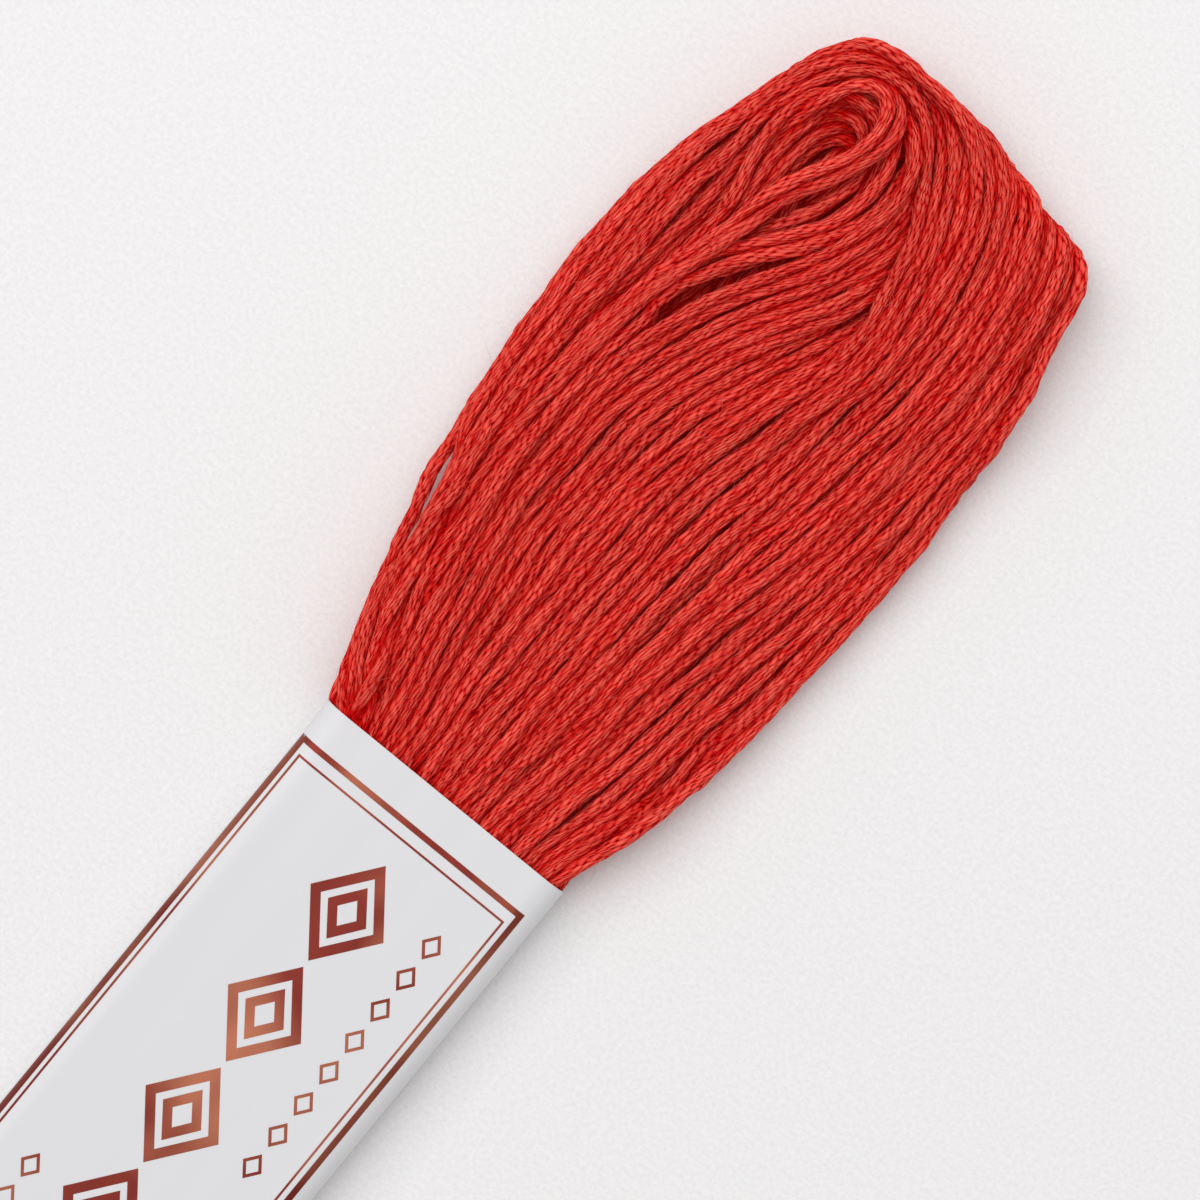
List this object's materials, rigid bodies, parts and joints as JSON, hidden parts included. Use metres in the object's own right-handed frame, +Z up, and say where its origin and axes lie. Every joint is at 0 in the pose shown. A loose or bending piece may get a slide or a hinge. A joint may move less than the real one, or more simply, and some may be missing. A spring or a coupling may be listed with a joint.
{
  "type": "skein of embroidery floss",
  "caption": "Flat pressed skein of red stranded cotton embroidery floss, its long and short loops held by a white paper band with a copper foil frame.",
  "frame": {"origin": "middle of the paper band's underside, on the surface that the skein rests on", "axes": "+Y along the skein towards its long loops, +X across it, +Z up"},
  "size_m": [0.0383, 0.1772, 0.0069],
  "materials": {
    "cotton_floss": "matt twisted stranded cotton",
    "band_paper": "satin coated paper with copper foil print"
  },
  "bodies": {
    "root": {"skein": "cotton_floss", "band": "band_paper"}
  },
  "joints": []
}
